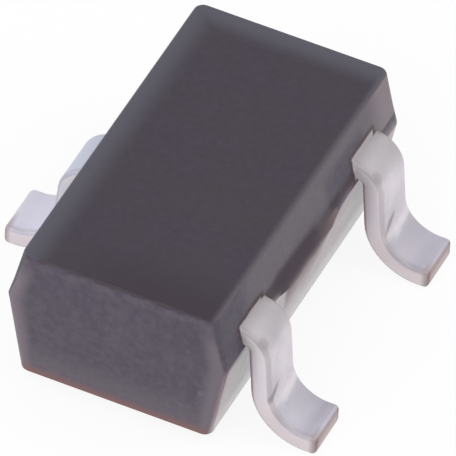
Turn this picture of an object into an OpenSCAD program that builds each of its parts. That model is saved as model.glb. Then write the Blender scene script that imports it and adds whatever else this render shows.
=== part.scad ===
// Small-signal NPN transistor in a three-lead surface-mount package.
// The long axis of the moulding runs along X. The single collector lead points to +Y,
// and the base and emitter leads point to -Y, with the base lead on the -X side.
// The origin is on the board, below the middle of the moulding, and +Z is up.
// All sizes are in millimetres.

/* [Moulding] */
// Length of the moulding at its widest line
body_length = 2.94; // [2.80:0.01:3.10]
// Width of the moulding at its widest line
body_width = 1.72; // [1.50:0.01:1.80]
// Height of the top face above the board
body_top = 1.27; // [1.20:0.01:1.30]
// Gap between the board and the underside of the moulding
standoff = 0.10; // [0.02:0.01:0.12]
// How far each long side leans in from the widest line up to the top face
upper_draft_side = 0.105; // [0.040:0.005:0.140]
// How far each end leans in from the widest line up to the top face
upper_draft_end = 0.01; // [0.01:0.01:0.08]
// How far each long side leans in across the strip beside the lead frame
band_draft_side = 0.040; // [0.000:0.005:0.050]
// How far each long side leans in from the widest line down to the underside
lower_draft_side = 0.11; // [0.04:0.01:0.14]
// How far each end leans in from the widest line down to the underside
lower_draft_end = 0.04; // [0.02:0.01:0.12]
// Radius of the four upright corners
corner_radius = 0.07; // [0.03:0.01:0.10]
// Radius of the edges round the top face and the underside
edge_radius = 0.020; // [0.01:0.005:0.03]

/* [Leads] */
// Thickness of the lead frame strip
lead_thickness = 0.155; // [0.120:0.005:0.170]
// Width of the base and emitter leads
lead_width = 0.42; // [0.36:0.01:0.50]
// Width of the collector lead
collector_width = 0.47; // [0.36:0.01:0.50]
// Distance between the middles of the base and emitter leads
lead_pitch = 1.90; // [1.80:0.02:2.00]
// Distance from foot tip to foot tip across the package
lead_span = 2.90; // [2.80:0.02:3.00]
// Height of the upper face of the lead frame above the board
frame_top = 0.97; // [0.88:0.01:0.98]
// Straight stretch of lead between the moulding and its first bend
shoulder = 0.00; // [0.00:0.01:0.06]
// Radius inside the first bend
shoulder_bend = 0.03; // [0.02:0.01:0.07]
// Radius outside the first bend, where the strip is thinned by bending
outer_bend = 0.27; // [0.18:0.01:0.30]
// Radius inside the bend above the foot
foot_bend = 0.29; // [0.12:0.01:0.34]
// Lean of the leg away from upright, in degrees
leg_lean = 5; // [2:0.5:10]
// Fall of the foot towards its tip, in degrees
foot_fall = 0; // [0:1:5]

/* [Lead frame inside the moulding] */
// Length of the die pad
pad_length = 1.24; // [1.00:0.02:1.40]
// Width of the die pad
pad_width = 0.66; // [0.56:0.02:0.70]
// Distance from the middle of the package to the pad edge that faces the bond posts
pad_front = 0.16; // [0.12:0.01:0.20]
// Length of each bond post along the package
post_length = 0.76; // [0.60:0.02:0.80]
// Width of each bond post
post_width = 0.24; // [0.18:0.01:0.28]
// Gap between the bond posts and the die pad
post_gap = 0.18; // [0.16:0.01:0.22]
// Radius of the notches that lock each lead into the moulding
lock_radius = 0.05; // [0.03:0.01:0.07]

/* [Die and bond wires] */
// Side of the square die
die_side = 0.42; // [0.34:0.01:0.50]
// Thickness of the die
die_thickness = 0.10; // [0.08:0.01:0.13]
// Thickness of the bonding layer below the die
attach_thickness = 0.015; // [0.01:0.005:0.02]
// Thickness of the metal pads on the die
metal_thickness = 0.005; // [0.004:0.001:0.006]
// Side of each metal pad on the die
metal_side = 0.11; // [0.10:0.01:0.14]
// Distance between the two metal pads on the die, middle to middle
metal_pitch = 0.20; // [0.18:0.01:0.22]
// Diameter of the bond wires
wire_diameter = 0.025; // [0.020:0.001:0.030]
// Diameter of the ball at the die end of each wire
ball_diameter = 0.085; // [0.07:0.005:0.09]
// Width of the flattened stitch at the post end of each wire
stitch_width = 0.07; // [0.05:0.005:0.08]

/* [Hidden] */

// Small overlap that keeps a cutting shape clear of the face it cuts through
clear = 0.01;
// Steps round an upright corner, a rounded edge, a bend and a whole lock notch
corner_steps = 4;
edge_steps = 3;
bend_steps = 12;
notch_steps = 32;

// Colours of the preview that more than one module uses
tin = [0.76, 0.74, 0.78];
gold = [0.90, 0.72, 0.30];

frame_bottom = frame_top - lead_thickness;
half_length = body_length / 2;
half_width = body_width / 2;

// Where the flat strip inside the moulding passes into the bent lead, with a small overlap
bend_start = half_width - lead_thickness;
plate_end = bend_start + clear;

// The ends lean in evenly from the underside of the lead frame to the top face
band_draft_end = upper_draft_end * lead_thickness / (body_top - frame_bottom);

// The thin ledge of moulding compound that stays between the base and emitter leads
flash_thickness = 0.10;
flash_reach = 0.05;
flash_left = -0.66;
flash_right = 0.55;
flash_ramp_left = 0.22;
flash_ramp_right = 0.40;

// Middle of the die, and how far its metal pads lie from there towards the bond posts
die_x = 0;
die_y = 0.14;
metal_offset = 0.06;
metal_y = die_y - metal_offset;
die_bottom = frame_top + attach_thickness;
die_top = die_bottom + die_thickness;
attach_margin = 0.02;

// Distance from the middle of a lead to the stitch on its post
post_reach = 0.36;

// Wire shape: sides of its section, steps along the loop, and the height of the loop's first handle
wire_sides = 8;
loop_steps = 16;
loop_rise = 0.15;
loop_end_rise = 0.09;
loop_end_share = 0.62;
ball_height = 0.03;
ball_steps = 4;

// The ball is a slice of a pressed sphere, from a turn below its widest line to one above it
ball_low_turn = -50;
ball_high_turn = 60;
ball_press = 0.8;

stitch_length = 0.06;
stitch_steps = 4;
stitch_thickness = 0.012;

// Closed skin through a list of rings that all have the same number of points
module swept_skin(rings) {
    count = len(rings[0]);
    last = (len(rings) - 1) * count;
    walls = [
        for (r = [0 : len(rings) - 2], k = [0 : count - 1])
            let (
                a = r * count + k,
                b = r * count + (k + 1) % count
            )
            each [[a, b + count, b], [a, a + count, b + count]]
    ];
    ends = [
        [for (k = [0 : count - 1]) k],
        [for (k = [count - 1 : -1 : 0]) last + k]
    ];
    polyhedron(points = [for (ring = rings) each ring], faces = concat(walls, ends));
}

// Rounded outline of the moulding at one height, as points running anticlockwise seen from above.
// A station is [height, end inset, side inset, corner radius].
function mould_ring(station) =
    [for (corner = [0 : 3], step = [0 : corner_steps])
        let (
            radius = station[3],
            turn = 90 * corner + 90 * step / corner_steps,
            side_x = corner == 0 || corner == 3 ? 1 : -1,
            side_y = corner < 2 ? 1 : -1
        )
        [
            side_x * (half_length - station[1] - radius) + radius * cos(turn),
            side_y * (half_width - station[2] - radius) + radius * sin(turn),
            station[0]
        ]];

// Stations of the rounded edge between a drafted wall and a flat face, from the wall to the face
function rounded_edge(face, up, end_draft, side_draft) =
    [for (step = [0 : edge_steps])
        let (
            turn = 90 * step / edge_steps,
            inset = edge_radius * (1 - cos(turn)),
            level = face - up * edge_radius * (1 - sin(turn))
        )
        [level, end_draft + inset, side_draft + inset, corner_radius - inset]];

// The whole moulding as one skin: underside, lower walls, straight band, upper walls and top face
module mould_block() {
    lower_edge = rounded_edge(standoff, -1, lower_draft_end, lower_draft_side);
    stations = concat(
        [for (i = [edge_steps : -1 : 0]) lower_edge[i]],
        [
            [frame_bottom, 0, 0, corner_radius],
            [frame_top, band_draft_end, band_draft_side, corner_radius]
        ],
        rounded_edge(body_top, 1, upper_draft_end, upper_draft_side)
    );
    swept_skin([for (station = stations) mould_ring(station)]);
}

// Ledge of flash between the two leads on the -Y side
module mould_flash() {
    wall = -half_width;
    root = wall + band_draft_side * flash_thickness / lead_thickness;
    translate([0, 0, frame_bottom])
        linear_extrude(height = flash_thickness)
            polygon([
                [flash_left, root + clear],
                [flash_left, root],
                [flash_left + flash_ramp_left, wall - flash_reach],
                [flash_right - flash_ramp_right, wall - flash_reach],
                [flash_right, root],
                [flash_right, root + clear]
            ]);
}

module mould_body() {
    color([0.27, 0.26, 0.29])
        difference() {
            union() {
                mould_block();
                mould_flash();
            }
            collector_shape();
            base_shape();
            emitter_shape();
            die_shape();
            attach_shape();
            base_wire_shape();
            emitter_wire_shape();
        }
}

// Unit vector square to a strip that heads down by an angle from the outward direction, as [out, up]
function square_to(heading) = [sin(heading), cos(heading)];

// Points of a bend about a centre, between two headings
function bend(centre, radius, from, to) =
    [for (i = [0 : bend_steps]) centre + radius * square_to(from + (to - from) * i / bend_steps)];

// Side outline of a formed lead, as [out, up] points, from inside the moulding to the foot tip
function lead_outline() =
    let (
        half = lead_thickness / 2,
        down = 90 - leg_lean,
        centre_1 = [half_width + shoulder, frame_bottom - shoulder_bend],
        middle_1 = shoulder_bend + half,
        middle_2 = foot_bend + half,
        leg_start = centre_1 + middle_1 * square_to(down),
        tip = [lead_span / 2 - half * sin(foot_fall), half * cos(foot_fall)],
        bend_move = middle_2 * (square_to(down) - square_to(foot_fall)),
        gap = tip - leg_start - bend_move,
        leg = (-gap[1] * cos(foot_fall) - gap[0] * sin(foot_fall)) / sin(down - foot_fall),
        leg_end = leg_start + leg * [cos(down), -sin(down)],
        centre_2 = leg_end + middle_2 * square_to(down),
        leg_outside = square_to(down) * centre_1 + shoulder_bend + lead_thickness,
        outer_height = frame_top - outer_bend,
        outer_centre = [(leg_outside - outer_bend - outer_height * cos(down)) / sin(down), outer_height]
    )
    concat(
        [[bend_start, frame_top]],
        bend(outer_centre, outer_bend, 0, down),
        bend(centre_2, -foot_bend, down, foot_fall),
        [tip + half * square_to(foot_fall), tip - half * square_to(foot_fall)],
        bend(centre_2, -foot_bend - lead_thickness, foot_fall, down),
        bend(centre_1, shoulder_bend, down, 0),
        [[bend_start, frame_bottom]]
    );

// The part of a lead that is seen, bent to shape, pointing to +Y
module formed_lead(width) {
    translate([-width / 2, 0, 0])
        rotate([90, 0, 90])
            linear_extrude(height = width)
                polygon(lead_outline());
}

// A pair of round notches in the edges of a lead, just inside the moulding
module lock_notches(width) {
    for (side = [-1, 1])
        translate([side * width / 2, half_width - 3 * lock_radius, frame_bottom - clear])
            cylinder(r = lock_radius, h = lead_thickness + 2 * clear, $fn = notch_steps);
}

// A flat rectangle of lead frame, from one corner to the opposite corner
module frame_plate(corner, opposite) {
    translate([corner[0], corner[1], frame_bottom])
        cube([opposite[0] - corner[0], opposite[1] - corner[1], lead_thickness]);
}

// Collector lead, formed in one piece with the pad that carries the die
module collector_shape() {
    pad_back = pad_width - pad_front;
    difference() {
        union() {
            formed_lead(collector_width);
            frame_plate([-collector_width / 2, pad_back - clear], [collector_width / 2, plate_end]);
            frame_plate([-pad_length / 2, -pad_front], [pad_length / 2, pad_back]);
        }
        lock_notches(collector_width);
    }
}

// A lead on the -Y side with its bond post, drawn for the base lead
module post_lead_shape() {
    post_back = -pad_front - post_gap;
    left = -lead_pitch / 2 - lead_width / 2;
    union() {
        translate([-lead_pitch / 2, 0, 0])
            mirror([0, 1, 0])
                difference() {
                    union() {
                        formed_lead(lead_width);
                        frame_plate([-lead_width / 2, -post_back + clear], [lead_width / 2, plate_end]);
                    }
                    lock_notches(lead_width);
                }
        frame_plate([left, post_back - post_width], [left + post_length, post_back]);
    }
}

module base_shape() {
    post_lead_shape();
}

module emitter_shape() {
    mirror([1, 0, 0])
        post_lead_shape();
}

// Silicon die with the two metal pads on its upper face
module die_shape() {
    translate([die_x - die_side / 2, die_y - die_side / 2, die_bottom])
        cube([die_side, die_side, die_thickness]);
    for (side = [-1, 1]) {
        metal_x = die_x + side * metal_pitch / 2;
        translate([metal_x - metal_side / 2, metal_y - metal_side / 2, die_top - clear])
            cube([metal_side, metal_side, metal_thickness + clear]);
    }
}

// Bonding layer between the die and its pad
module attach_shape() {
    side = die_side + 2 * attach_margin;
    translate([die_x - side / 2, die_y - side / 2, frame_top])
        cube([side, side, attach_thickness]);
}

// Point of a cubic curve
function curve(p, t) =
    pow(1 - t, 3) * p[0] + 3 * pow(1 - t, 2) * t * p[1] + 3 * (1 - t) * t * t * p[2] + pow(t, 3) * p[3];

// Direction in which a cubic curve runs
function curve_way(p, t) =
    3 * pow(1 - t, 2) * (p[1] - p[0]) + 6 * (1 - t) * t * (p[2] - p[1]) + 3 * t * t * (p[3] - p[2]);

// Stations along a bond wire in its own upright plane.
// Each is [distance from the ball, height, heading, half width, half thickness].
function wire_stations(reach) =
    let (
        start = die_top + metal_thickness,
        loop_start = start + ball_height,
        wire = wire_diameter / 2,
        low = stitch_thickness / 2,
        loop_end = frame_top + wire,
        handles = [
            [0, loop_start],
            [0, loop_start + loop_rise],
            [loop_end_share * reach, loop_end + loop_end_rise],
            [reach, loop_end]
        ],
        last_way = curve_way(handles, 1),
        last_heading = atan2(last_way[1], last_way[0])
    )
    concat(
        [for (i = [0 : ball_steps - 1])
            let (
                turn = ball_low_turn + (ball_high_turn - ball_low_turn) * i / (ball_steps - 1),
                share = (sin(turn) - sin(ball_low_turn)) / (sin(ball_high_turn) - sin(ball_low_turn)),
                radius = ball_diameter / 2 * cos(turn)
            )
            [0, start + ball_press * ball_height * share, 90, radius, radius]],
        [for (i = [0 : loop_steps])
            let (t = i / loop_steps, place = curve(handles, t), way = curve_way(handles, t))
            [place[0], place[1], atan2(way[1], way[0]), wire, wire]],
        [for (i = [1 : stitch_steps])
            let (share = i / stitch_steps)
            [
                reach + stitch_length * share,
                loop_end + (frame_top + low - loop_end) * sqrt(share),
                last_heading * (1 - share),
                wire + (stitch_width / 2 - wire) * share,
                wire + (low - wire) * share
            ]]
    );

// One bond wire: ball, loop and stitch as a single swept skin, with the stitch cut flat on its post
module bond_wire(from, to) {
    run = to - from;
    reach = norm(run) - stitch_length / 2;
    stations = wire_stations(reach);
    rings = [
        for (s = stations)
            [for (k = [0 : wire_sides - 1])
                let (
                    turn = 360 * (k + 0.5) / wire_sides,
                    lift = s[4] * sin(turn)
                )
                [s[0] - sin(s[2]) * lift, s[3] * cos(turn), s[1] + cos(s[2]) * lift]]
    ];
    difference() {
        translate([from[0], from[1], 0])
            rotate([0, 0, atan2(run[1], run[0])])
                swept_skin(rings);
        translate([to[0] - post_width, to[1] - post_width, frame_top - lead_thickness])
            cube([2 * post_width, 2 * post_width, lead_thickness]);
    }
}

module base_wire_shape() {
    bond_wire(
        [die_x - metal_pitch / 2, metal_y],
        [-lead_pitch / 2 + post_reach, -pad_front - post_gap - post_width / 2]
    );
}

module emitter_wire_shape() {
    bond_wire(
        [die_x + metal_pitch / 2, metal_y],
        [lead_pitch / 2 - post_reach, -pad_front - post_gap - post_width / 2]
    );
}

module collector_lead() {
    color(tin)
        collector_shape();
}

module base_lead() {
    color(tin)
        base_shape();
}

module emitter_lead() {
    color(tin)
        emitter_shape();
}

module silicon_die() {
    color([0.40, 0.42, 0.50])
        die_shape();
}

module die_attach() {
    color([0.70, 0.70, 0.72])
        attach_shape();
}

module base_bond_wire() {
    color(gold)
        base_wire_shape();
}

module emitter_bond_wire() {
    color(gold)
        emitter_wire_shape();
}

mould_body();
collector_lead();
base_lead();
emitter_lead();
silicon_die();
die_attach();
base_bond_wire();
emitter_bond_wire();
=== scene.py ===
# %% [markdown]
# This scene dresses a small surface-mount transistor: a black epoxy moulding three millimetres
# long, with three tinned leads bent down to the board. The solids come from the CAD frame, which
# says where everything is. Blender adds the soft edges, the torn flash, the plating and the light.
#
# Everything is modelled in millimetres, because a lead of 0.15 is easier to read than one of
# 0.00015. Each finished mesh is then turned into metres, the unit of the frame.

# %% Load the frame
import math

import bmesh
import bpy
from mathutils import Matrix, Vector, noise


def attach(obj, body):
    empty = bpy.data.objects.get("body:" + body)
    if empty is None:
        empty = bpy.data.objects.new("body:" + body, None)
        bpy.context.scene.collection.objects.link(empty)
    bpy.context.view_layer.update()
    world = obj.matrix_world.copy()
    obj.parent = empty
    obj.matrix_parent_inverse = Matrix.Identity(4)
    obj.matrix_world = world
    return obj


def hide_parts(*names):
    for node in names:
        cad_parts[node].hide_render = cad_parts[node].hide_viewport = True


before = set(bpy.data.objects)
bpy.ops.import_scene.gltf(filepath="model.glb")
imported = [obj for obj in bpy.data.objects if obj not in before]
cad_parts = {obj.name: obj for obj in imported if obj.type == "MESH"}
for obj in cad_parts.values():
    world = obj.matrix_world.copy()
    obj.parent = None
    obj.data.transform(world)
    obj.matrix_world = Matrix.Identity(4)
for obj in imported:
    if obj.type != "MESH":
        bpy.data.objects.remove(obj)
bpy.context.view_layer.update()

MM = 0.001


# %% [markdown]
# The camera looks down at the part over its left end, almost half way to straight down. A part
# this small is photographed from far away through a long lens, so its parallel edges stay
# parallel. The camera could be made orthographic, but the other views need a true lens to keep the
# part in frame, so it is a real one at 100 mm. Its direction, its roll and its scale come from
# fitting the straight edges of the moulding.

# %% Camera
IMAGE_SIDE = 456
PIXELS_PER_MM = 140.35
CAMERA_AZIMUTH = math.radians(-67.10)
CAMERA_ELEVATION = math.radians(44.13)
CAMERA_ROLL = math.radians(3.39)
CAMERA_DISTANCE = 100.0
AIM_HEIGHT = 0.5
AIM_RIGHT = 0.178
AIM_UP = 0.082
SENSOR = 36.0
CLIP_NEAR = 10
CLIP_FAR = 1000


def direction_from(azimuth, elevation):
    """Unit vector from the part towards a viewer or a lamp. Azimuth 0 is in front, at -Y."""
    flat = math.cos(elevation)
    return Vector((math.sin(azimuth) * flat, -math.cos(azimuth) * flat, math.sin(elevation)))


camera_back = direction_from(CAMERA_AZIMUTH, CAMERA_ELEVATION)
camera_right = Vector((math.cos(CAMERA_AZIMUTH), math.sin(CAMERA_AZIMUTH), 0))
camera_up = camera_back.cross(camera_right)
aim = Vector((0, 0, AIM_HEIGHT)) + camera_right * AIM_RIGHT + camera_up * AIM_UP

camera_data = bpy.data.cameras.new("camera")
camera_data.sensor_width = SENSOR
camera_data.lens = PIXELS_PER_MM * CAMERA_DISTANCE * SENSOR / IMAGE_SIDE
camera_data.clip_start = CLIP_NEAR * MM
camera_data.clip_end = CLIP_FAR * MM
camera = bpy.data.objects.new("camera", camera_data)
bpy.context.scene.collection.objects.link(camera)
axes = Matrix((camera_right, camera_up, camera_back)).transposed()
turned = axes @ Matrix.Rotation(CAMERA_ROLL, 3, "Z")
eye = aim + camera_back * CAMERA_DISTANCE
camera.matrix_world = Matrix.Translation(eye * MM) @ turned.to_4x4()
bpy.context.scene.camera = camera
print("lens in mm", round(camera_data.lens))

# %% [markdown]
# A material is a chain of nodes, and the sums in it are easiest to read as ordinary sums. This
# small class wraps one output of a node, so that a mask can be written as 1 - mask * 0.5 and the
# Math nodes appear by themselves. Every other kind of node is added by its node method.

# %% Shader sums
class Flow:
    """One output of a node. It can be added, subtracted, multiplied and divided."""

    def __init__(self, tree, socket):
        self.tree = tree
        self.socket = socket

    def node(self, kind, settings=None, inputs=None, output=0):
        """Adds a node to the same material, sets it up, and returns one of its outputs."""
        made = self.tree.nodes.new(kind)
        for name, value in (settings or {}).items():
            setattr(made, name, value)
        for name, value in (inputs or {}).items():
            if isinstance(value, Flow):
                self.tree.links.new(value.socket, made.inputs[name])
            else:
                made.inputs[name].default_value = value
        return Flow(self.tree, made.outputs[output])

    def sum(self, operation, first, second=0.0):
        return self.node("ShaderNodeMath", {"operation": operation}, {0: first, 1: second})

    def __add__(self, other):
        return self.sum("ADD", self, other)

    __radd__ = __add__

    def __sub__(self, other):
        return self.sum("SUBTRACT", self, other)

    def __rsub__(self, other):
        return self.sum("SUBTRACT", other, self)

    def __mul__(self, other):
        return self.sum("MULTIPLY", self, other)

    def __truediv__(self, other):
        return self.sum("DIVIDE", self, other)

    def size(self):
        return self.sum("ABSOLUTE", self)

    def sign(self):
        return self.sum("SIGN", self)

    def root(self):
        return self.sum("SQRT", self)

    def larger(self, other):
        return self.sum("MAXIMUM", self, other)

    def smaller(self, other):
        return self.sum("MINIMUM", self, other)


# %% [markdown]
# The masks and the colours of a finish are made by a few small helpers. Most masks are soft steps:
# a hard edge would look printed, and would flicker where it is thinner than a pixel.

# %% Helpers for masks and colours
def fade(value, start, end):
    """A soft step: 0 at start and 1 at end, which may lie either way round."""
    return value.node(
        "ShaderNodeMapRange",
        {"interpolation_type": "SMOOTHSTEP"},
        {"Value": value, "From Min": start, "From Max": end},
    )


def between(value, low, high, soft):
    """1 between low and high, fading out over a soft margin outside them."""
    return fade(value, low - soft, low) * fade(value, high + soft, high)


def mixed(mask, one, other):
    """The first colour where the mask is 0 and the other where it is 1."""
    inputs = {0: mask, 6: one, 7: other}
    return mask.node("ShaderNodeMix", {"data_type": "RGBA"}, inputs, output=2)


def choose(mask, one, other):
    """The first value where the mask is 0 and the other where it is 1."""
    return one + mask * (other - one)


def stretched(place, factors):
    """A place scaled by a factor of its own along each axis."""
    return place.node("ShaderNodeVectorMath", {"operation": "MULTIPLY"}, {0: place, 1: factors})


def rounded_sum(first, second):
    """The larger of two distances from straight edges, rounded off where both are positive."""
    beyond_first = first.larger(0.0)
    beyond_second = second.larger(0.0)
    corner = (beyond_first * beyond_first + beyond_second * beyond_second).root()
    return corner + first.larger(second).smaller(0.0)


def blot(across, along, half_width, half_length):
    """A soft oval spot: 1 at its middle and 0 outside."""
    u = across * (1 / half_width)
    v = along * (1 / half_length)
    return fade(u * u + v * v, 1.0, 0.0)


def grain(place, scale, detail=2.0, rough=0.5):
    """Cloudy noise about 0.5, with its scale in bumps per millimetre."""
    return place.node(
        "ShaderNodeTexNoise",
        None,
        {"Vector": place, "Scale": scale, "Detail": detail, "Roughness": rough},
    )


# %% [markdown]
# Every finish starts in the same way: a Principled shader, and the place on the part in
# millimetres. Object coordinates are in metres here, so they are scaled up once, and every size in
# a finish can then be read off the part.

# %% Start of a finish
def new_finish(name, metallic=0.0):
    """A material, its Principled shader, and the place on the part in millimetres."""
    material = bpy.data.materials.new(name)
    material.use_nodes = True
    tree = material.node_tree
    shader = tree.nodes["Principled BSDF"]
    shader.inputs["Metallic"].default_value = metallic
    coordinates = tree.nodes.new("ShaderNodeTexCoord")
    metres = Flow(tree, coordinates.outputs["Object"])
    scaled = {0: metres, "Scale": 1 / MM}
    return material, shader, metres.node("ShaderNodeVectorMath", {"operation": "SCALE"}, scaled)


def split(place):
    """The x, y and z of a place, as three flows."""
    parts = place.node("ShaderNodeSeparateXYZ", None, {0: place})
    outputs = parts.socket.node.outputs
    return [Flow(place.tree, outputs[axis]) for axis in "XYZ"]


def feed(shader, name, value):
    """Links a flow to a socket of the shader, or sets the socket's own value."""
    if isinstance(value, Flow):
        value.tree.links.new(value.socket, shader.inputs[name])
    else:
        shader.inputs[name].default_value = value


def relief(shader, height, distance):
    """Bump of a height from 0 to 1, standing up by a distance in metres."""
    bump = {"Height": height, "Distance": distance, "Strength": 1.0}
    feed(shader, "Normal", height.node("ShaderNodeBump", None, bump))


# %% [markdown]
# The sizes of the moulding and the leads are the driving dimensions of the part's own source,
# written here again in millimetres.

# %% Sizes
BODY_LENGTH = 2.94
BODY_WIDTH = 1.72
BODY_TOP = 1.27
STANDOFF = 0.10
UPPER_DRAFT_SIDE = 0.105
UPPER_DRAFT_END = 0.01
BAND_DRAFT_SIDE = 0.040
LOWER_DRAFT_SIDE = 0.11
LOWER_DRAFT_END = 0.04
CORNER_RADIUS = 0.07
EDGE_RADIUS = 0.020
FLASH_REACH = 0.05
FLASH_ENDS = (-0.66, -0.44, 0.15, 0.55)

LEAD_THICKNESS = 0.155
LEAD_WIDTH = 0.42
COLLECTOR_WIDTH = 0.47
LEAD_PITCH = 1.90
LEAD_SPAN = 2.90
FRAME_TOP = 0.97
SHOULDER = 0.0
SHOULDER_BEND = 0.03
OUTER_BEND = 0.27
FOOT_BEND = 0.29
LEG_LEAN = 5

PAD_LENGTH = 1.24
PAD_WIDTH = 0.66
PAD_FRONT = 0.16
POST_LENGTH = 0.76
POST_WIDTH = 0.24
POST_GAP = 0.18
LOCK_RADIUS = 0.05
DIE_TOP = FRAME_TOP + 0.115

# %% [markdown]
# A few places are used so often that they have names of their own: how far out the walls, the
# outer leads and the tips of the feet lie, and the heights of the moulding's two halves.

# %% Places that follow from the sizes
WALL_X = BODY_LENGTH / 2
WALL_Y = BODY_WIDTH / 2
LEAD_X = LEAD_PITCH / 2
TIP_Y = LEAD_SPAN / 2
FRAME_BOTTOM = FRAME_TOP - LEAD_THICKNESS
LOWER_HEIGHT = FRAME_BOTTOM - STANDOFF
UPPER_HEIGHT = BODY_TOP - FRAME_BOTTOM
BAND_DRAFT_END = UPPER_DRAFT_END * LEAD_THICKNESS / UPPER_HEIGHT
print("walls at", WALL_X, "and", WALL_Y, "lead frame from", round(FRAME_BOTTOM, 3), "to", FRAME_TOP)

# %% [markdown]
# The moulding compound is epoxy filled with fine silica, so up close it is not plain black: it has
# a violet cast, a fine grain, and pale specks where filler shows. The top is cast against a
# polished face of the mould and is the darkest. The walls are a little paler than the top, and that
# paleness is painted light. The compound that crept out beside the lead frame is thin, dark and
# brown.
#
# One image for each of these would be the usual way. Here each is a mask made from the height and
# from noise, because the masks stay sharp at any distance and follow the part when its size
# changes. Two sums do most of the work: how far a point lies towards the long walls, and how far
# towards the ends, both with the draft taken out, so that a wall is at the same value from top to
# bottom.

# %% Masks and noises of the moulding
DRAG_STRETCH = (4.0, 14.0, 2.0)

epoxy, shader, place = new_finish("epoxy_moulding")
x, y, z = split(place)

below = (FRAME_BOTTOM - z).larger(0.0)
above = (z - FRAME_BOTTOM).larger(0.0)
lower_draft = below * (LOWER_DRAFT_SIDE / LOWER_HEIGHT)
upper_draft = above * (UPPER_DRAFT_SIDE / UPPER_HEIGHT)
to_side = y.size() + lower_draft + upper_draft
to_end = x.size() + below * (LOWER_DRAFT_END / LOWER_HEIGHT)
side = fade(to_side, WALL_Y - 0.05, WALL_Y - 0.025)
ends = fade(to_end, WALL_X - 0.03, WALL_X - 0.012)
only_side = side * (1 - ends)
front = fade(y, 0.1, -0.1)
top_face = fade(z, BODY_TOP - 0.020, BODY_TOP - 0.008)

clouds = grain(place, 1.6, 3.0)
mottle = grain(place, 7.0, 3.0)
uneven = mottle - 0.5
fine = grain(place, 45.0, 2.0)
speckle = grain(place, 18.0, 4.0, 0.6)
drag = grain(stretched(place, DRAG_STRETCH), 1.0, 3.0)
filler = fade(grain(place, 8.0, 1.0), 0.72, 0.82)
print("nodes after the masks", len(epoxy.node_tree.nodes))

# %% [markdown]
# The top is violet in the middle, with painted highlights towards the far edges and along the near
# long edge, and it is darker towards the near left corner. A colour is written as its red, green,
# blue and alpha, in the linear values that the shader adds up.

# %% Top of the moulding
TOP_VIOLET = (0.023, 0.015, 0.031, 1)
TOP_BROWN = (0.027, 0.016, 0.027, 1)
TOP_SPECKS = (0.034, 0.026, 0.042, 1)
TOP_CORNER = (0.017, 0.007, 0.019, 1)
TOP_FAR_HIGHLIGHT = (0.070, 0.067, 0.090, 1)
TOP_NEAR_HIGHLIGHT = (0.105, 0.085, 0.105, 1)

violet_or_brown = fade(clouds + uneven * 0.5, 0.35, 0.65)
near_corner = fade(x, -0.90, -1.40) * fade(y, 0.75, -0.20)
# painted highlights towards the far edges and along the near long edge of the top
far_edge_highlight = fade(y, 0.50, 0.75).larger(fade(x, 1.20, 1.42))
near_edge_highlight = fade(y, -0.70, -0.77)

top_colour = mixed(violet_or_brown, TOP_VIOLET, TOP_BROWN)
top_colour = mixed(fade(speckle, 0.35, 0.65) * 0.5, top_colour, TOP_SPECKS)
top_colour = mixed(near_corner, top_colour, TOP_CORNER)
top_colour = mixed(far_edge_highlight, top_colour, TOP_FAR_HIGHLIGHT)
top_colour = mixed(near_edge_highlight, top_colour, TOP_NEAR_HIGHLIGHT)
print("nodes after the top", len(epoxy.node_tree.nodes))

# %% [markdown]
# The walls are painted a little paler than the top, as painted light, and the ends get more painted
# light along their upright edges and along the foot. The foot has a brown rim all round, and the
# rim of the top is scuffed and worn at the ends.

# %% Walls of the moulding
# the walls' base is paler than the top, and that paleness is painted light
WALL_DARK = (0.052, 0.042, 0.066, 1)
WALL_LIGHT = (0.078, 0.064, 0.088, 1)
END_PAINTED_LIGHT = (0.165, 0.132, 0.160, 1)
WALL_FOOT = (0.205, 0.095, 0.090, 1)
RIM_SCUFFED = (0.17, 0.155, 0.165, 1)
RIM_WORN = (0.040, 0.020, 0.028, 1)

wall_tone = speckle * 0.6 + mottle * 0.25 + drag * 0.15
upright_rim = fade(to_side, WALL_Y - 0.18, WALL_Y - 0.05) * choose(front, 1.0, 0.75)
low_rim = fade(z, STANDOFF + 0.40, STANDOFF + 0.08)
# painted light on the ends, along their upright edges and along the foot
end_painted_light = (upright_rim * fade(z, BODY_TOP, FRAME_TOP)).larger(low_rim * 0.40)
foot_rim = fade(z + uneven * 0.04, STANDOFF + 0.11, STANDOFF + 0.02)
wall_colour = mixed(fade(wall_tone, 0.35, 0.65), WALL_DARK, WALL_LIGHT)
wall_colour = mixed(end_painted_light * ends, wall_colour, END_PAINTED_LIGHT)
wall_colour = mixed(foot_rim * side.larger(ends) * 0.9, wall_colour, WALL_FOOT)
colour = mixed(top_face, wall_colour, top_colour)

scuffed = between(z, BODY_TOP - 0.085, BODY_TOP - 0.045, 0.03) * ends
scuffed = scuffed * fade(mottle + (clouds - 0.5) * 0.5, 0.42, 0.60)
worn_rim = between(z, BODY_TOP - 0.030, BODY_TOP - 0.006, 0.012) * ends * fade(drag, 0.35, 0.60)
colour = mixed(scuffed * 0.12, colour, RIM_SCUFFED)
colour = mixed(worn_rim * 0.7, colour, RIM_WORN)
print("nodes after the walls", len(epoxy.node_tree.nodes))

# %% [markdown]
# Above the lead frame the long walls get painted light, more so towards the far end, and painted
# shade at the near end. Below the frame they are smooth and shine, and on the front a paler pink
# base colour paints part of that sheen. The ledge of flash between the two leads is dark, and so is
# the wall for a little way above it. Under the ledge the wall gets a brown painted shade, and the
# ledge's outer rim a painted highlight.

# %% Long walls and the seam
SIDE_LIT = (0.200, 0.163, 0.184, 1)
SIDE_SHADED = (0.040, 0.034, 0.048, 1)
SHADE_UNDER_LEDGE = (0.113, 0.074, 0.083, 1)
SIDE_BACK = (0.085, 0.074, 0.092, 1)
FRONT_SHEEN_TINT = (0.165, 0.096, 0.128, 1)
SEAM_DARK = (0.053, 0.038, 0.050, 1)
SEAM_LIT = (0.150, 0.108, 0.112, 1)

# painted light on the upper long walls, held back over one gap, and painted shade at the near end
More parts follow.
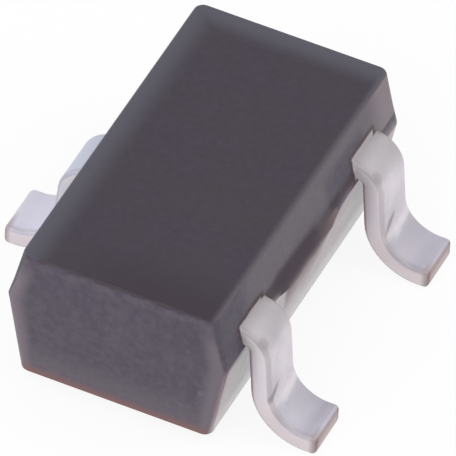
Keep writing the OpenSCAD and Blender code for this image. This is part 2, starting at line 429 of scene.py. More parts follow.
upper_side = only_side * (1 - top_face) * fade(z, FRAME_BOTTOM + 0.09, FRAME_BOTTOM + 0.11)
lit = fade(x, -1.15, -0.90) * 0.30 + fade(x, 1.00, 1.30) * 0.70
light_gap = fade(x, 0.22, 0.38) * fade(x, 0.98, 0.86) * fade(z, 1.20, 1.10)
colour = mixed(upper_side * lit * (1 - light_gap), colour, SIDE_LIT)
colour = mixed(upper_side * fade(x, -1.25, -1.45) * 0.3, colour, SIDE_SHADED)

on_ledge = fade(y, -WALL_Y - 0.006, -WALL_Y - 0.014)
under_ledge = front * fade(x, -0.48, -0.33) * fade(x, 0.60, 0.10)
drop = under_ledge * 0.13 + fade(x, -0.90, -1.30) * 0.055 + uneven * 0.04
shine = fade((FRAME_BOTTOM + 0.080 - z - drop) / (under_ledge * 0.32 + 0.115), 0.0, 1.0)
lower_side = only_side * shine * (1 - on_ledge)
# brown painted shade on the wall under the flash ledge
shade_under_ledge = only_side * under_ledge * fade(z, FRAME_TOP, FRAME_BOTTOM)
colour = mixed(shade_under_ledge, colour, SHADE_UNDER_LEDGE)
# on the front, the paler pink base paints part of the lower wall's sheen
colour = mixed(lower_side, colour, mixed(front, SIDE_BACK, FRONT_SHEEN_TINT))

seam_top = FRAME_TOP - fade(x, -0.30, 0.10) * 0.03 + uneven * 0.04
in_band = only_side * fade(z - seam_top, 0.035, -0.035)
in_band = in_band * fade(z, FRAME_BOTTOM + 0.015, FRAME_BOTTOM + 0.065)
seam = in_band * front * fade(x.size() + uneven * 0.2, 0.86, 0.72)
seam = (seam * (1 - between(x, 0.12, 0.26, 0.10) * 0.7)).larger(on_ledge)
outer_rim = fade(y + (fine - 0.5) * 0.01, -WALL_Y - 0.025, -WALL_Y - 0.045)
# painted highlight on the ledge's outer rim and towards its right end
seam_highlight = outer_rim * fade(z, FRAME_BOTTOM + 0.09, FRAME_BOTTOM + 0.02)
seam_highlight = seam_highlight.larger(on_ledge * fade(x, -0.10, 0.32))
colour = mixed(seam, colour, mixed(seam_highlight, SEAM_DARK, SEAM_LIT))
print("nodes after the seam", len(epoxy.node_tree.nodes))

# %% [markdown]
# Each lead has a smear of tin on the wall above it, with a brown stain round the smear. Both lie
# off to the same side of their lead, and the stain reaches down the other side, where it also
# paints the shade in the notch beside the lead. The smears of the two near leads differ a little,
# so their sizes carry a small share of the sign of x.

# %% Smears of tin, and the finished moulding
SMEAR_SHIFT = 0.042
SMEAR_WIDTH = 0.35
SMEAR_HEIGHT = 0.036
SMEAR_DULL = (0.36, 0.31, 0.33, 1)
SMEAR_BRIGHT = (0.50, 0.46, 0.49, 1)
STAIN_AND_SHADE = (0.042, 0.020, 0.018, 1)
FILLER = (0.20, 0.19, 0.21, 1)
EPOXY_RELIEF = 2.0e-6

offset = choose(1 - front, x - x.sign() * LEAD_X, x) + SMEAR_SHIFT
smear_edge = (offset + x.sign() * 0.012).size() - SMEAR_WIDTH / 2 + (speckle - 0.5) * 0.04
smear_top = z - FRAME_TOP - SMEAR_HEIGHT - x.sign() * 0.014 + uneven * 0.03
from_smear = rounded_sum(smear_edge, smear_top)
# brown stain round the smear, which also paints the shade beside the lead
stain_and_shade = fade(from_smear, 0.055, 0.020) * fade(z, FRAME_BOTTOM + 0.02, FRAME_BOTTOM + 0.10)
smear = only_side * fade(from_smear, 0.012, -0.012) * fade(z, FRAME_BOTTOM, FRAME_BOTTOM + 0.05)
colour = mixed(only_side * stain_and_shade * 0.85, colour, STAIN_AND_SHADE)
colour = mixed(smear, colour, mixed(mottle, SMEAR_DULL, SMEAR_BRIGHT))
colour = mixed(filler * (1 - top_face) * 0.3, colour, FILLER)

feed(shader, "Base Color", colour)
feed(shader, "Roughness", 0.46 + mottle * 0.14 + seam * 0.2 - lower_side * 0.22)
feed(shader, "Coat Weight", lower_side * (0.52 + fade(z, 0.37, 0.17) * 0.46))
feed(shader, "Coat Roughness", 0.14)
feed(shader, "Coat IOR", 1.6)
relief(shader, fine * 0.5 + mottle * 0.3 + drag * 0.2, EPOXY_RELIEF)
print("epoxy nodes", len(epoxy.node_tree.nodes))

# %% [markdown]
# The leads are stamped from copper alloy strip and plated with matt tin after moulding. Matt tin
# is a satin, slightly cloudy silver with a lilac cast in this light. It is thin, so it wears
# through at the edges, and the tips are cut after plating: their ends are bare alloy, browner than
# the rest. Where the lead leaves the moulding there is a thin brown line that the plating did not
# reach.
#
# The masks use three measures: how far out a point lies, how far across its lead, and how high.
# The tin gets painted shade over the first bend and painted light down the leg. The lead at the
# back gets a cool, bluish painted light.

# %% Tin, from the shoulder down the leg
TIN_DARK = (0.575, 0.540, 0.590, 1)
TIN_LIGHT = (0.715, 0.675, 0.715, 1)
TIN_WARM = (0.70, 0.63, 0.61, 1)
TIN_COOL = (0.50, 0.48, 0.54, 1)
BEND_SHADE_FRONT = (0.430, 0.405, 0.420, 1)
BEND_SHADE_BACK = (0.44, 0.47, 0.56, 1)
LEG_LIGHT = (0.78, 0.73, 0.77, 1)
BACK_LEAD_COOL_LIGHT = (0.62, 0.63, 0.73, 1)

tin, shader, place = new_finish("matt_tin", metallic=0.7)
x, y, z = split(place)
out = y.size()
back = fade(y, -0.1, 0.1)
across = choose(back, x - x.sign() * LEAD_X, x)
edge = choose(back, LEAD_WIDTH / 2, COLLECTOR_WIDTH / 2)
from_left = across + edge
side_face = fade(edge - across.size(), 0.005, 0.001)

cloud = grain(place, 3.5, 3.0)
patch = grain(place, 11.0, 4.0, 0.6)
uneven = patch - 0.5
fine = grain(place, 60.0, 2.0)
colour = mixed(fade(cloud, 0.3, 0.7), TIN_DARK, TIN_LIGHT)
colour = mixed(fade(patch, 0.50, 0.70) * 0.6, colour, TIN_WARM)
colour = mixed(fade(patch, 0.46, 0.30) * 0.5, colour, TIN_COOL)

# painted shade over the first bend, painted light down the leg, cool painted light on the back lead
bend_shade = fade(out, 1.09, 0.96) * fade(z, 0.68, 0.85)
leg = between(z, 0.30, 0.75, 0.10)
inner_side = fade(across, -LEAD_WIDTH / 2 + 0.05, -LEAD_WIDTH / 2 + 0.01) * (1 - back)
colour = mixed(bend_shade * 0.8, colour, mixed(back, BEND_SHADE_FRONT, BEND_SHADE_BACK))
colour = mixed(leg * choose(inner_side, 0.28, 0.8), colour, LEG_LIGHT)
colour = mixed(back * 0.5, colour, BACK_LEAD_COOL_LIGHT)
print("nodes after the leg", len(tin.node_tree.nodes))

# %% [markdown]
# The top of the foot gets a darker, lavender painted shade, and on the lead at the back a paler
# painted light. A painted highlight runs across above the foot, its sides get painted light, and
# the edge that faces the end of the part gets a line of painted shade. The cut tip is brown, and
# darkest round its rim.

# %% Tin of the foot and the tip
FOOT_SHADE_FLAT = (0.47, 0.45, 0.53, 1)
FOOT_SHADE_CURVED = (0.44, 0.42, 0.48, 1)
FOOT_BACK_LIGHT = (0.68, 0.65, 0.75, 1)
CREASE_HIGHLIGHT = (0.88, 0.84, 0.88, 1)
SIDE_LIGHT_LOW = (0.76, 0.68, 0.70, 1)
SIDE_LIGHT_HIGH = (0.74, 0.70, 0.72, 1)
EDGE_SHADE = (0.36, 0.32, 0.34, 1)
BEFORE_TIP = (0.34, 0.27, 0.27, 1)
TIP_LOW = (0.52, 0.42, 0.42, 1)
TIP_HIGH = (0.39, 0.295, 0.29, 1)
TIP_RIM = (0.20, 0.13, 0.11, 1)

# painted shade on the top of the foot, and painted light on the back lead's foot
foot_top = between(z, LEAD_THICKNESS - 0.012, 0.28, 0.04) * fade(out, 1.04, 1.18)
foot_bend = fade(z, LEAD_THICKNESS + 0.005, LEAD_THICKNESS + 0.035)
foot_light_and_shade = mixed(back, mixed(foot_bend, FOOT_SHADE_FLAT, FOOT_SHADE_CURVED), FOOT_BACK_LIGHT)
colour = mixed(foot_top * choose(back, 0.8, 0.6), colour, foot_light_and_shade)
# painted highlight across the lead above the foot
crease_highlight = between(z - across * 0.12 + uneven * 0.04, 0.285, 0.320, 0.025)
crease_highlight = crease_highlight * fade(across, -0.15, -0.02) * (1 - back)
colour = mixed(crease_highlight * 0.35, colour, CREASE_HIGHLIGHT)
# painted light on the side faces, low on the foot and high near the moulding
colour = mixed(side_face * fade(z, 0.42, 0.28) * 0.8, colour, SIDE_LIGHT_LOW)
colour = mixed(side_face * fade(z, 0.70, 0.82) * 0.8, colour, SIDE_LIGHT_HIGH)
# painted shade in a line along the lead's edge
edge_shade_line = fade(from_left, 0.001, 0.006) * fade(from_left + uneven * 0.02, 0.065, 0.020)
colour = mixed(edge_shade_line * 0.5, colour, EDGE_SHADE)

before_tip = fade(out, TIP_Y - 0.065, TIP_Y - 0.020) * fade(across, -0.02, -0.17)
tip = fade(out, TIP_Y - 0.014, TIP_Y - 0.004)
tip_rim = tip * fade(across.size() + uneven * 0.06, 0.14, 0.19).larger(fade(z, 0.05, 0.015))
colour = mixed(before_tip * 0.6, colour, BEFORE_TIP)
colour = mixed(tip * 0.8, colour, mixed(fade(z, 0.05, 0.13), TIP_LOW, TIP_HIGH))
colour = mixed(tip_rim * 0.6, colour, TIP_RIM)
print("nodes after the tip", len(tin.node_tree.nodes))

# %% [markdown]
# The plating stops short of the moulding in a thin brown line. Each near lead has two shallow
# marks with painted shade in them: a slanting dent above the foot, and a pit at the first bend. The
# dent's two measures lie along and across its slope, which is a turn of about 28 degrees.

# %% Brown line, shaded dents, and the finished tin
DENT_ACROSS = 0.115
DENT_HEIGHT = 0.397
DENT_SLOPE = (0.88, 0.47)
PIT_ACROSS = 0.16
PIT_HEIGHT = 0.86
UNPLATED = (0.16, 0.10, 0.08, 1)
DENT_SHADE = (0.26, 0.22, 0.24, 1)
TIN_RELIEF = 6.0e-6

wall_out = WALL_Y - (z - FRAME_BOTTOM).larger(0.0) * (BAND_DRAFT_SIDE / LEAD_THICKNESS)
exit_line = fade(out - wall_out + uneven * 0.03, 0.012, -0.004) * fade(across, 0.02, 0.12)
far_corner = fade(across + uneven * 0.08, 0.15, 0.21) * fade(out, 0.91, 0.84)
far_corner = far_corner * fade(z, 0.90, 0.94) * (1 - back)
colour = mixed((exit_line * 0.35).larger(far_corner * 0.4), colour, UNPLATED)

dent_x = across + DENT_ACROSS - x.sign() * 0.03
dent_z = z - DENT_HEIGHT
slant = dent_x * DENT_SLOPE[0] + dent_z * DENT_SLOPE[1]
thick = dent_z * DENT_SLOPE[0] - dent_x * DENT_SLOPE[1]
streak = blot(slant, thick, 0.13, 0.040) * fade(y, -0.95, -1.0) * (1 - side_face)
pit = blot(across + PIT_ACROSS, z - PIT_HEIGHT, 0.060, 0.050) * fade(y, -0.9, -0.94)
# the dents' dark colour is painted shade, and the same mask bumps them in
dents_and_shade = streak.larger(pit * 0.6)
colour = mixed(dents_and_shade * 0.6, colour, DENT_SHADE)

feed(shader, "Base Color", colour)
feed(shader, "Roughness", 0.50 + patch * 0.16)
relief(shader, patch * 0.45 + fine * 0.1 - dents_and_shade, TIN_RELIEF)
print("tin nodes", len(tin.node_tree.nodes))

# %% [markdown]
# Four pieces are sealed inside and keep their CAD shape. They are finished all the same, because
# the part may be shown cut open: polished silicon with two bright pads, the dull layer that bonds
# the chip down, and drawn gold wire.

# %% Finishes of the sealed pieces
SILICON = (0.045, 0.055, 0.09, 1)
BRIGHT_PAD = (0.80, 0.80, 0.82, 1)
BOND_DARK = (0.40, 0.40, 0.42, 1)
BOND_LIGHT = (0.62, 0.61, 0.63, 1)
GOLD_DEEP = (0.88, 0.60, 0.22, 1)
GOLD_PALE = (0.95, 0.70, 0.32, 1)

silicon, shader, place = new_finish("polished_silicon")
x, y, z = split(place)
bond_pads = fade(z, DIE_TOP + 0.001, DIE_TOP + 0.003)
feed(shader, "Base Color", mixed(bond_pads, SILICON, BRIGHT_PAD))
feed(shader, "Metallic", 0.4 + bond_pads * 0.6)
feed(shader, "Roughness", 0.12 + grain(place, 40.0) * 0.12)

die_bond, shader, place = new_finish("bonding_layer", metallic=1.0)
feed(shader, "Base Color", mixed(grain(place, 60.0), BOND_DARK, BOND_LIGHT))
feed(shader, "Roughness", 0.45 + grain(place, 90.0) * 0.2)

gold, shader, place = new_finish("drawn_gold", metallic=1.0)
feed(shader, "Base Color", mixed(grain(place, 80.0), GOLD_DEEP, GOLD_PALE))
feed(shader, "Roughness", 0.18 + grain(place, 120.0) * 0.12)

for node, finish in (
    ("silicon_die", silicon),
    ("die_attach", die_bond),
    ("base_bond_wire", gold),
    ("emitter_bond_wire", gold),
):
    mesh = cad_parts[node].data
    mesh.materials.clear()
    mesh.materials.append(finish)
    print(node, "finished in", finish.name)

# %% [markdown]
# A finished mesh needs the same last steps each time: stray double points merged, faces turned
# outwards, millimetres turned into metres, and smooth shading that still keeps the flat faces
# flat. The weighted normals do the last: on a rounded edge they lean on the large flat faces
# beside it.
#
# Some mesh operators number their new parts differently in each run, and the next operator then
# rounds its last digit differently. So a shape is rebuilt in a fixed order before such a step.

# %% Finish a mesh
SMALLEST_GAP = 1e-5
MERGED_GAP = 2e-4


def in_fixed_order(shape):
    """The same shape again, with its points and faces numbered by their places."""
    points = sorted(shape.verts, key=lambda v: v.co[:])
    number = {v: place for place, v in enumerate(points)}
    faces = sorted([number[v] for v in face.verts] for face in shape.faces)
    fresh = bmesh.new()
    made = [fresh.verts.new(v.co) for v in points]
    for face in faces:
        fresh.faces.new([made[place] for place in face])
    shape.free()
    return fresh


def finished_piece(shape, name, material, node):
    """Turns a bmesh in millimetres into a piece that stands for a CAD node."""
    shape = in_fixed_order(shape)
    bmesh.ops.remove_doubles(shape, verts=shape.verts, dist=MERGED_GAP)
    shape = in_fixed_order(shape)
    bmesh.ops.recalc_face_normals(shape, faces=shape.faces)
    loose = sum(not edge.is_manifold for edge in shape.edges)
    volume = shape.calc_volume()
    bmesh.ops.scale(shape, vec=(MM, MM, MM), verts=shape.verts)
    mesh = bpy.data.meshes.new(name)
    shape.to_mesh(mesh)
    shape.free()
    for face in mesh.polygons:
        face.use_smooth = True
    mesh.materials.append(material)
    piece = bpy.data.objects.new(name, mesh)
    bpy.context.scene.collection.objects.link(piece)
    weighted = piece.modifiers.new("even_shading", "WEIGHTED_NORMAL")
    weighted.keep_sharp = True
    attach(piece, "root")
    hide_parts(node)
    print(name, len(mesh.polygons), "faces", round(volume, 4), "mm3,", loose, "open edges")


# %% [markdown]
# Three more steps are shared by the moulding and the leads: to cut a shape along a plane, to round
# some of its edges, and to ask how high an edge lies.

# %% Cut and round
def all_of(shape):
    return shape.verts[:] + shape.edges[:] + shape.faces[:]


def once_each(parts):
    """Parts of a mesh without repeats. Unlike a set, it has the same order in each run."""
    return list(dict.fromkeys(parts))


def around(faces):
    """Some faces with the edges and points round them."""
    return once_each(part for face in faces for part in (face, *face.edges, *face.verts))


def cut(shape, geometry, point, normal):
    """Cuts new edges where a plane crosses some of a shape's faces."""
    bmesh.ops.bisect_plane(
        shape, geom=geometry, plane_co=point, plane_no=normal, dist=SMALLEST_GAP
    )


def cut_level(shape, geometry, level):
    cut(shape, geometry, (0, 0, level), (0, 0, 1))


def cut_across(shape, geometry, place_x):
    cut(shape, geometry, (place_x, 0, 0), (1, 0, 0))


def round_edges(shape, edges, radius, segments):
    bmesh.ops.bevel(
        shape,
        geom=edges,
        offset=radius,
        segments=segments,
        profile=0.5,
        affect="EDGES",
        material=-1,
        clamp_overlap=True,
    )


def at_level(edge, *levels):
    """Whether both ends of an edge lie at one of some heights."""
    return any(all(abs(v.co.z - level) < SMALLEST_GAP for v in edge.verts) for level in levels)


# %% [markdown]
# The moulding is a block with draft: the mould's two halves meet at the lead frame, and each half
# tapers so that the part can be pushed out. It could be lofted through outlines, as the CAD source
# does. In a mesh the shorter way is to cut a cube at the two heights of the frame, and then to
# shrink its top and its underside.

# %% Drafted block
def drafted_block():
    shape = bmesh.new()
    bmesh.ops.create_cube(shape, size=1.0)
    height = BODY_TOP - STANDOFF
    bmesh.ops.scale(shape, vec=(BODY_LENGTH, BODY_WIDTH, height), verts=shape.verts)
    bmesh.ops.translate(shape, vec=(0, 0, STANDOFF + height / 2), verts=shape.verts)
    for level in (FRAME_BOTTOM, FRAME_TOP):
        cut_level(shape, all_of(shape), level)
    for level, end, side in (
        (BODY_TOP, UPPER_DRAFT_END, UPPER_DRAFT_SIDE),
        (FRAME_TOP, BAND_DRAFT_END, BAND_DRAFT_SIDE),
        (STANDOFF, LOWER_DRAFT_END, LOWER_DRAFT_SIDE),
    ):
        rim = [v for v in shape.verts if abs(v.co.z - level) < SMALLEST_GAP]
        shrink = (1 - 2 * end / BODY_LENGTH, 1 - 2 * side / BODY_WIDTH, 1)
        bmesh.ops.scale(shape, vec=shrink, verts=rim)
    return shape


block = drafted_block()
print("block", len(block.faces), "faces", round(block.calc_volume(), 3), "mm3")

# %% [markdown]
# The four upright corners are rounded first, through all three heights at once, and then the rims
# of the top and of the underside. The corners have the larger radius, so the rims can follow them.
# The seams, where the slope of a wall changes, are softened last.

# %% Rounded edges of the moulding
SEAM_RADIUS = 0.006
CORNER_STEPS = 5
RIM_STEPS = 4
SEAM_STEPS = 2


def upright(edge):
    run = edge.verts[1].co - edge.verts[0].co
    return abs(run.z) > 0.5 * run.length


round_edges(block, [e for e in block.edges if upright(e)], CORNER_RADIUS, CORNER_STEPS)
rims = [e for e in block.edges if at_level(e, BODY_TOP, STANDOFF)]
round_edges(block, rims, EDGE_RADIUS, RIM_STEPS)
seams = [e for e in block.edges if at_level(e, FRAME_TOP, FRAME_BOTTOM)]
round_edges(block, seams, SEAM_RADIUS, SEAM_STEPS)
print("rounded block", len(block.faces), "faces")

# %% [markdown]
# Between the base and emitter leads a thin ledge of compound stays on, where it crept out along
# the lead frame. It could be a bar of its own, joined to the wall, but flash grows out of the wall
# with no joint. So the wall itself is cut into a fine grid there, first in columns and then in
# rows, and the points of the grid will be pulled out. A row has its height and its share of the
# ledge's reach.

# %% Grid for the flash ledge
FLASH_STEPS = 44
FLASH_ROWS = (
    (0.003, 0.0),
    (0.006, 0.88),
    (0.016, 1.0),
    (0.055, 1.0),
    (0.080, 0.92),
    (0.095, 0.7),
    (0.100, 0.0),
)
FACING = 0.9
flash_start, flash_full, flash_fading, flash_stop = FLASH_ENDS


def wall_strip(low, high):
    """Faces of the -Y wall at the height of the lead frame, between two places along it."""
    return [
        f
        for f in block.faces
        if f.normal.y < -FACING
        and FRAME_BOTTOM < f.calc_center_median().z < FRAME_TOP
        and low < f.calc_center_median().x < high
    ]


for step in range(FLASH_STEPS + 1):
    place_x = flash_start + (flash_stop - flash_start) * step / FLASH_STEPS
    cut_across(block, around(wall_strip(-BODY_LENGTH, BODY_LENGTH)), place_x)
for rise, _ in FLASH_ROWS:
    cut_level(block, around(wall_strip(flash_start, flash_stop)), FRAME_BOTTOM + rise)
print("grid of", len(wall_strip(flash_start, flash_stop)), "faces")

# %% [markdown]
# The ledge fades in and out along its length, its rim is rounded from top to bottom, and a noise
# leaves it torn, because flash breaks off unevenly. The faces above and below the grid now have
# many points along one straight edge. A narrow strip is cut off there and split into sound
# triangles.

# %% Flash ledge
FLASH_TEAR = 0.010
TEAR_WAVES = ((7.0, 0.7), (25.0, 0.5))
SEAM_STRIP = 0.003


def smooth(share):
    share = min(max(share, 0.0), 1.0)
    return share * share * (3 - 2 * share)


def crowded():
    """Faces with all the grid's points along one straight edge."""
    return [f for f in block.faces if len(f.verts) > FLASH_STEPS]


ledge = once_each(v for f in wall_strip(flash_start, flash_stop) for v in f.verts)
for v in ledge:
    along = smooth((v.co.x - flash_start) / (flash_full - flash_start))
    along *= smooth((flash_stop - v.co.x) / (flash_stop - flash_fading))
    rise = v.co.z - FRAME_BOTTOM
    reach = next((share for row, share in FLASH_ROWS if abs(rise - row) < SMALLEST_GAP), 0.0)
    torn = sum((size * noise.noise(v.co * scale) for scale, size in TEAR_WAVES), 0.5)
    rim = FLASH_TEAR * max(torn, 0.0) - WALL_Y - FLASH_REACH
    v.co.y += (rim - v.co.y) * along * reach
for level in (FRAME_BOTTOM - SEAM_STRIP, FRAME_TOP + SEAM_STRIP):
    cut_level(block, around(crowded()), level)
print("faces split from their middle", len(crowded()))
bmesh.ops.poke(block, faces=crowded())
print("ledge", len(ledge), "points, reaches to", round(min(v.co.y for v in ledge), 4))
finished_piece(block, "epoxy_body", epoxy, "mould_body")

# %% [markdown]
# A lead is stamped flat and then bent over a tool, and it is modelled in the same order. The flat
# part that stays inside the moulding is a plate. One face of its rim is opened, and the open rim
# of edges is drawn out, swung round the first bend, drawn down the leg, swung back round the
# second bend and drawn along the foot. The tip is closed at the end. Spin is the operator for a
# bend, since a bend is a turn about the tool's axis.
#
# The outside of the first bend is rounder than the inside would make it. Its centre is where a
# circle of the outer radius touches both the top of the strip and the outside of the leg.

# %% Tools for a bent strip
LEG_ANGLE = math.radians(90 - LEG_LEAN)
square_to_leg = Vector((math.sin(LEG_ANGLE), math.cos(LEG_ANGLE)))
bend_centre = Vector((WALL_Y + SHOULDER, FRAME_BOTTOM - SHOULDER_BEND))
leg_outside = square_to_leg.dot(bend_centre) + SHOULDER_BEND + LEAD_THICKNESS
outer_height = FRAME_TOP - OUTER_BEND
outer_reach = (leg_outside - OUTER_BEND - outer_height * square_to_leg.y) / square_to_leg.x
outer_centre = Vector((outer_reach, outer_height))
print("centre of the outer bend", round(outer_centre.x, 3), round(outer_centre.y, 3))


class Strip:
    """A stamped strip with an open end, which can be drawn out straight or swung round a bend."""

    def __init__(self, corner, opposite):
        self.shape = bmesh.new()
        bmesh.ops.create_cube(self.shape, size=1.0)
        size = Vector(opposite) - Vector(corner)
        middle = (Vector(opposite) + Vector(corner)) / 2
        bmesh.ops.scale(self.shape, vec=size, verts=self.shape.verts)
        bmesh.ops.translate(self.shape, vec=middle, verts=self.shape.verts)
        self.rim = []

    def open_towards(self, way, left, right):
        """Opens the rim face that looks along y, between two places along x."""
        for place_x in (left, right):
            cut_across(self.shape, all_of(self.shape), place_x)
        middle = (left + right) / 2
        mouth = [
            f
            for f in self.shape.faces
            if f.normal.y * way > FACING
            and abs(f.calc_center_median().x - middle) < SMALLEST_GAP
        ]
        self.rim = list(mouth[0].edges)
        bmesh.ops.delete(self.shape, geom=mouth, context="FACES_ONLY")

    def ends(self):
        return once_each(v for e in self.rim for v in e.verts)

    def draw(self, step):
        """Draws the open rim out along a vector."""
        made = bmesh.ops.extrude_edge_only(self.shape, edges=self.rim)["geom"]
        self.rim = [g for g in made if isinstance(g, bmesh.types.BMEdge) and g.is_boundary]
        bmesh.ops.translate(self.shape, vec=step, verts=self.ends())

    def narrow(self, middle, factor):
        """Narrows or widens the open rim about a place along x."""
        there = Matrix.Translation((-middle, 0, 0))
        bmesh.ops.scale(self.shape, vec=(factor, 1, 1), space=there, verts=self.ends())

    def swing(self, centre, angle, steps):
        """Swings the open rim round an axis that runs along x."""
        made = bmesh.ops.spin(
            self.shape,
            geom=self.rim + self.ends(),
            cent=(0, *centre),
            axis=(1, 0, 0),
            dvec=(0, 0, 0),
            angle=angle,
            steps=steps,
            use_duplicate=False,
        )["geom_last"]
        self.rim = [g for g in made if isinstance(g, bmesh.types.BMEdge)]

    def stretch_bend(self, way):
        """Pulls the outside of the first bend in to the rounder curve of a stretched strip."""
        for v in self.shape.verts:
            beyond = Vector((v.co.y * way - outer_centre.x, v.co.z - outer_centre.y))
            in_corner = beyond.x > 0 < beyond.y and math.atan2(*beyond) < LEG_ANGLE
            if in_corner and beyond.length > OUTER_BEND:
                beyond *= OUTER_BEND / beyond.length
                v.co.y = (outer_centre.x + beyond.x) * way
                v.co.z = outer_centre.y + beyond.y

    def close(self):
        bmesh.ops.contextual_create(self.shape, geom=self.rim)


# %% [markdown]
# All three leads have the same bends, so one function forms any of them. It points the lead along
# +Y or -Y, takes the lead's middle line and width, and works out the length of the leg from the
# height that is left between the two bends. The pair of notches just inside the wall locks the
# lead into the compound: the strip narrows to a waist in two steps, and widens again in two.

# %% Form one lead
BEND_STEPS = 14
STRETCH_STEPS = 5
STRETCHED_LEG = 0.10
LOCK_INSET = 3 * LOCK_RADIUS


def formed(strip, way, middle, width, start):
    """Draws an opened strip out to a finished gull-wing lead."""
    notch = WALL_Y - LOCK_INSET
    waist = 1 - 2 * LOCK_RADIUS / width
    strip.draw((0, way * (notch - LOCK_RADIUS - start), 0))
    for part, factor in (
        (0.3, 0.5 + 0.5 * waist),
        (0.7, 2 * waist / (1 + waist)),
        (0.7, (1 + waist) / (2 * waist)),
        (0.3, 2 / (1 + waist)),
    ):
        strip.draw((0, way * LOCK_RADIUS * part, 0))
        strip.narrow(middle, factor)
    for _ in range(STRETCH_STEPS):
        strip.draw((0, way * (WALL_Y + SHOULDER - notch - LOCK_RADIUS) / STRETCH_STEPS, 0))

    first = (way * (WALL_Y + SHOULDER), FRAME_BOTTOM - SHOULDER_BEND)
    strip.swing(first, -way * LEG_ANGLE, BEND_STEPS)
    turn = SHOULDER_BEND + FOOT_BEND + LEAD_THICKNESS
    drop = FRAME_BOTTOM - turn * (1 - math.cos(LEG_ANGLE))
    leg = drop / math.sin(LEG_ANGLE)
    down = Vector((0, way * math.cos(LEG_ANGLE), -math.sin(LEG_ANGLE)))
    for _ in range(STRETCH_STEPS):
        strip.draw(down * STRETCHED_LEG / STRETCH_STEPS)
    strip.draw(down * (leg - STRETCHED_LEG))
    strip.stretch_bend(way)

    reach = WALL_Y + SHOULDER + turn * math.sin(LEG_ANGLE) + leg * math.cos(LEG_ANGLE)
    second = (way * reach, LEAD_THICKNESS + FOOT_BEND)
    strip.swing(second, way * LEG_ANGLE, BEND_STEPS)
    strip.draw((0, way * (TIP_Y - reach), 0))
    strip.close()
    print("leg", round(leg, 3), "foot", round(TIP_Y - reach, 3))


# %% [markdown]
# Stamping and plating leave the edges of a lead round. Only the sharp edges are rounded, not the
# many gentle ones round the bends. It is done in two goes, because the steps of the notch are so
# short that a wide rounding would fold over there: a wide one outside, and a narrow one on the
# sealed part.

# %% Soften a lead's edges
STAMPED_EDGE = 0.035
SEALED_EDGE = 0.007
SOFT_START = WALL_Y - 0.05
SEALED_END = WALL_Y - 0.08
SHARP_ANGLE = math.radians(50)
EDGE_STEPS = 3


def softened(strip):
    """Rounds the stamped edges, widely outside the moulding and narrowly inside it."""
    for radius, inner, outer in (
        (STAMPED_EDGE, SOFT_START, LEAD_SPAN),
        (SEALED_EDGE, 0.0, SEALED_END),
    ):
        shape = in_fixed_order(strip.shape)
        strip.shape = shape
        bmesh.ops.recalc_face_normals(shape, faces=shape.faces)
        stretch = [
            e for e in shape.edges if all(inner <= abs(v.co.y) <= outer for v in e.verts)
        ]
        sharp = [e for e in stretch if e.is_manifold and e.calc_face_angle() > SHARP_ANGLE]
        round_edges(shape, sharp, radius, EDGE_STEPS)
        print("rounded", len(sharp), "edges by", radius)


# %% [markdown]
# The collector lead carries the chip on a pad, so it takes out the heat as well as the current.
# Its strip starts as that pad, and is drawn out from the middle of the pad's back edge.

# %% Collector lead with its die pad
pad_back = PAD_WIDTH - PAD_FRONT
pad_corner = (-PAD_LENGTH / 2, -PAD_FRONT, FRAME_BOTTOM)
collector = Strip(pad_corner, (PAD_LENGTH / 2, pad_back, FRAME_TOP))
collector.open_towards(1, -COLLECTOR_WIDTH / 2, COLLECTOR_WIDTH / 2)
formed(collector, 1, 0, COLLECTOR_WIDTH, pad_back)
softened(collector)
finished_piece(collector.shape, "collector_strip", tin, "collector_lead")

# %% [markdown]
# The base and emitter leads end in small bonding posts instead of a pad. The emitter lead is the
# base lead's mirror image, so one loop makes both: the hand is -1 for the base and 1 for the
# emitter.

# %% Base and emitter leads with their posts
post_back = -PAD_FRONT - POST_GAP
for hand, name in ((-1, "base"), (1, "emitter")):
    outer = hand * (LEAD_PITCH + LEAD_WIDTH) / 2
    inner = outer - hand * POST_LENGTH
    lead_middle = hand * LEAD_X
    left, right = sorted((outer, inner))
    post = Strip((left, post_back - POST_WIDTH, FRAME_BOTTOM), (right, post_back, FRAME_TOP))
    post.open_towards(-1, lead_middle - LEAD_WIDTH / 2, lead_middle + LEAD_WIDTH / 2)
    formed(post, -1, lead_middle, LEAD_WIDTH, POST_WIDTH - post_back)
    softened(post)
    finished_piece(post.shape, name + "_strip", tin, name + "_lead")

# %% [markdown]
# The table and the room should both look like white paper, to the camera and to the metal that
# mirrors them, but neither should light the part as strongly as that. So a plain white is mixed in
# for those rays alone. The light that the table throws back on the part, and the shadow on it,
# stay real.

# %% White for the eye alone
WHITE = (1, 1, 1, 1)


def shown_white(tree, real, kind, amount, surface):
    """Mixes a plain white into a shader for the camera's rays and for mirrored ones."""
    rays = tree.nodes.new("ShaderNodeLightPath").outputs
    seen, mirrored, passed = (
        Flow(tree, rays[ray]) for ray in ("Is Camera Ray", "Is Glossy Ray", "Is Transmission Ray")
    )
    share = seen.larger(mirrored.larger(passed)) * amount
    white = seen.node(kind, None, {"Color": WHITE, "Strength": 1.0})
    mix = tree.nodes.new("ShaderNodeMixShader")
    tree.links.new(share.socket, mix.inputs[0])
    tree.links.new(real.outputs[0], mix.inputs[1])
    tree.links.new(white.socket, mix.inputs[2])
    tree.links.new(mix.outputs[0], surface.inputs["Surface"])


# %% [markdown]
# The table is one plain square, far larger than the part. It only takes the shadow and throws
# light back up at the walls, so it needs no thickness and no texture.

# %% Table
TABLE_SIDE = 400.0
TABLE_COLOUR = (0.97, 0.97, 0.97, 1)
TABLE_ROUGHNESS = 0.9
TABLE_WHITE = 0.90

table_material = bpy.data.materials.new("white_table")
table_material.use_nodes = True
tree = table_material.node_tree
table_shader = tree.nodes["Principled BSDF"]
feed(table_shader, "Base Color", TABLE_COLOUR)
feed(table_shader, "Roughness", TABLE_ROUGHNESS)
feed(table_shader, "Specular IOR Level", 0.0)
shown_white(
    tree, table_shader, "ShaderNodeEmission", TABLE_WHITE, tree.nodes["Material Output"]
)

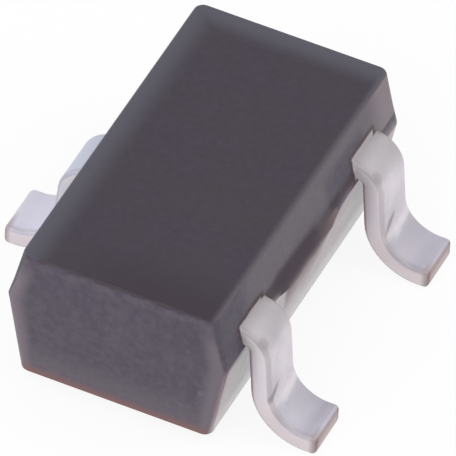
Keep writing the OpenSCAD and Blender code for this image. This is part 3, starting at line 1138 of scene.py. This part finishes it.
table_shape = bmesh.new()
bmesh.ops.create_grid(table_shape, x_segments=1, y_segments=1, size=TABLE_SIDE / 2 * MM)
table_mesh = bpy.data.meshes.new("table")
table_shape.to_mesh(table_mesh)
table_shape.free()
table_mesh.materials.append(table_material)
table = bpy.data.objects.new("table", table_mesh)
bpy.context.scene.collection.objects.link(table)
print("table side in mm", TABLE_SIDE)

# %% [markdown]
# The light is a white room and three soft boxes. The room is a plain world, white to the camera
# and in reflections, and dimmer as a light. The strongest box stands over the left end of the
# part, which makes that end paler than the top. A weaker one fills from the right, and a cool one
# from behind. A level of 1 would light a white card facing the box to full white. The boxes slant,
# so with the room they bring the table to a little over 1.

# %% World and lamps
ROOM_LEVEL = 0.68
BOX_DISTANCE = 30
BOX_SIDE = 18

world = bpy.data.worlds.new("white_room")
bpy.context.scene.world = world
world.use_nodes = True
tree = world.node_tree
room = tree.nodes["Background"]
feed(room, "Color", WHITE)
feed(room, "Strength", ROOM_LEVEL)
shown_white(tree, room, "ShaderNodeBackground", 1.0, tree.nodes["World Output"])


def soft_box(name, azimuth, elevation, level, tint=(1, 1, 1)):
    """A square lamp aimed at the part, of a level that is a share of full white."""
    data = bpy.data.lights.new(name, "AREA")
    data.shape = "SQUARE"
    data.size = BOX_SIDE * MM
    data.energy = level * math.pi**2 * (BOX_DISTANCE * MM) ** 2
    data.color = tint
    lamp = bpy.data.objects.new(name, data)
    back = direction_from(math.radians(azimuth), math.radians(elevation))
    lamp.location = back * BOX_DISTANCE * MM
    lamp.rotation_mode = "QUATERNION"
    lamp.rotation_quaternion = back.to_track_quat("Z", "Y")
    bpy.context.scene.collection.objects.link(lamp)
    print(name, "energy in W", round(data.energy, 5))


soft_box("key_box", azimuth=-95, elevation=40, level=0.25)
soft_box("fill_box", azimuth=10, elevation=50, level=0.20)
soft_box("cool_box", azimuth=-165, elevation=25, level=0.20, tint=(0.72, 0.84, 1.0))

# %% [markdown]
# Colours are shown as they are written, so the view transform is the plain one.

# %% Colour
bpy.context.scene.view_settings.view_transform = "Standard"
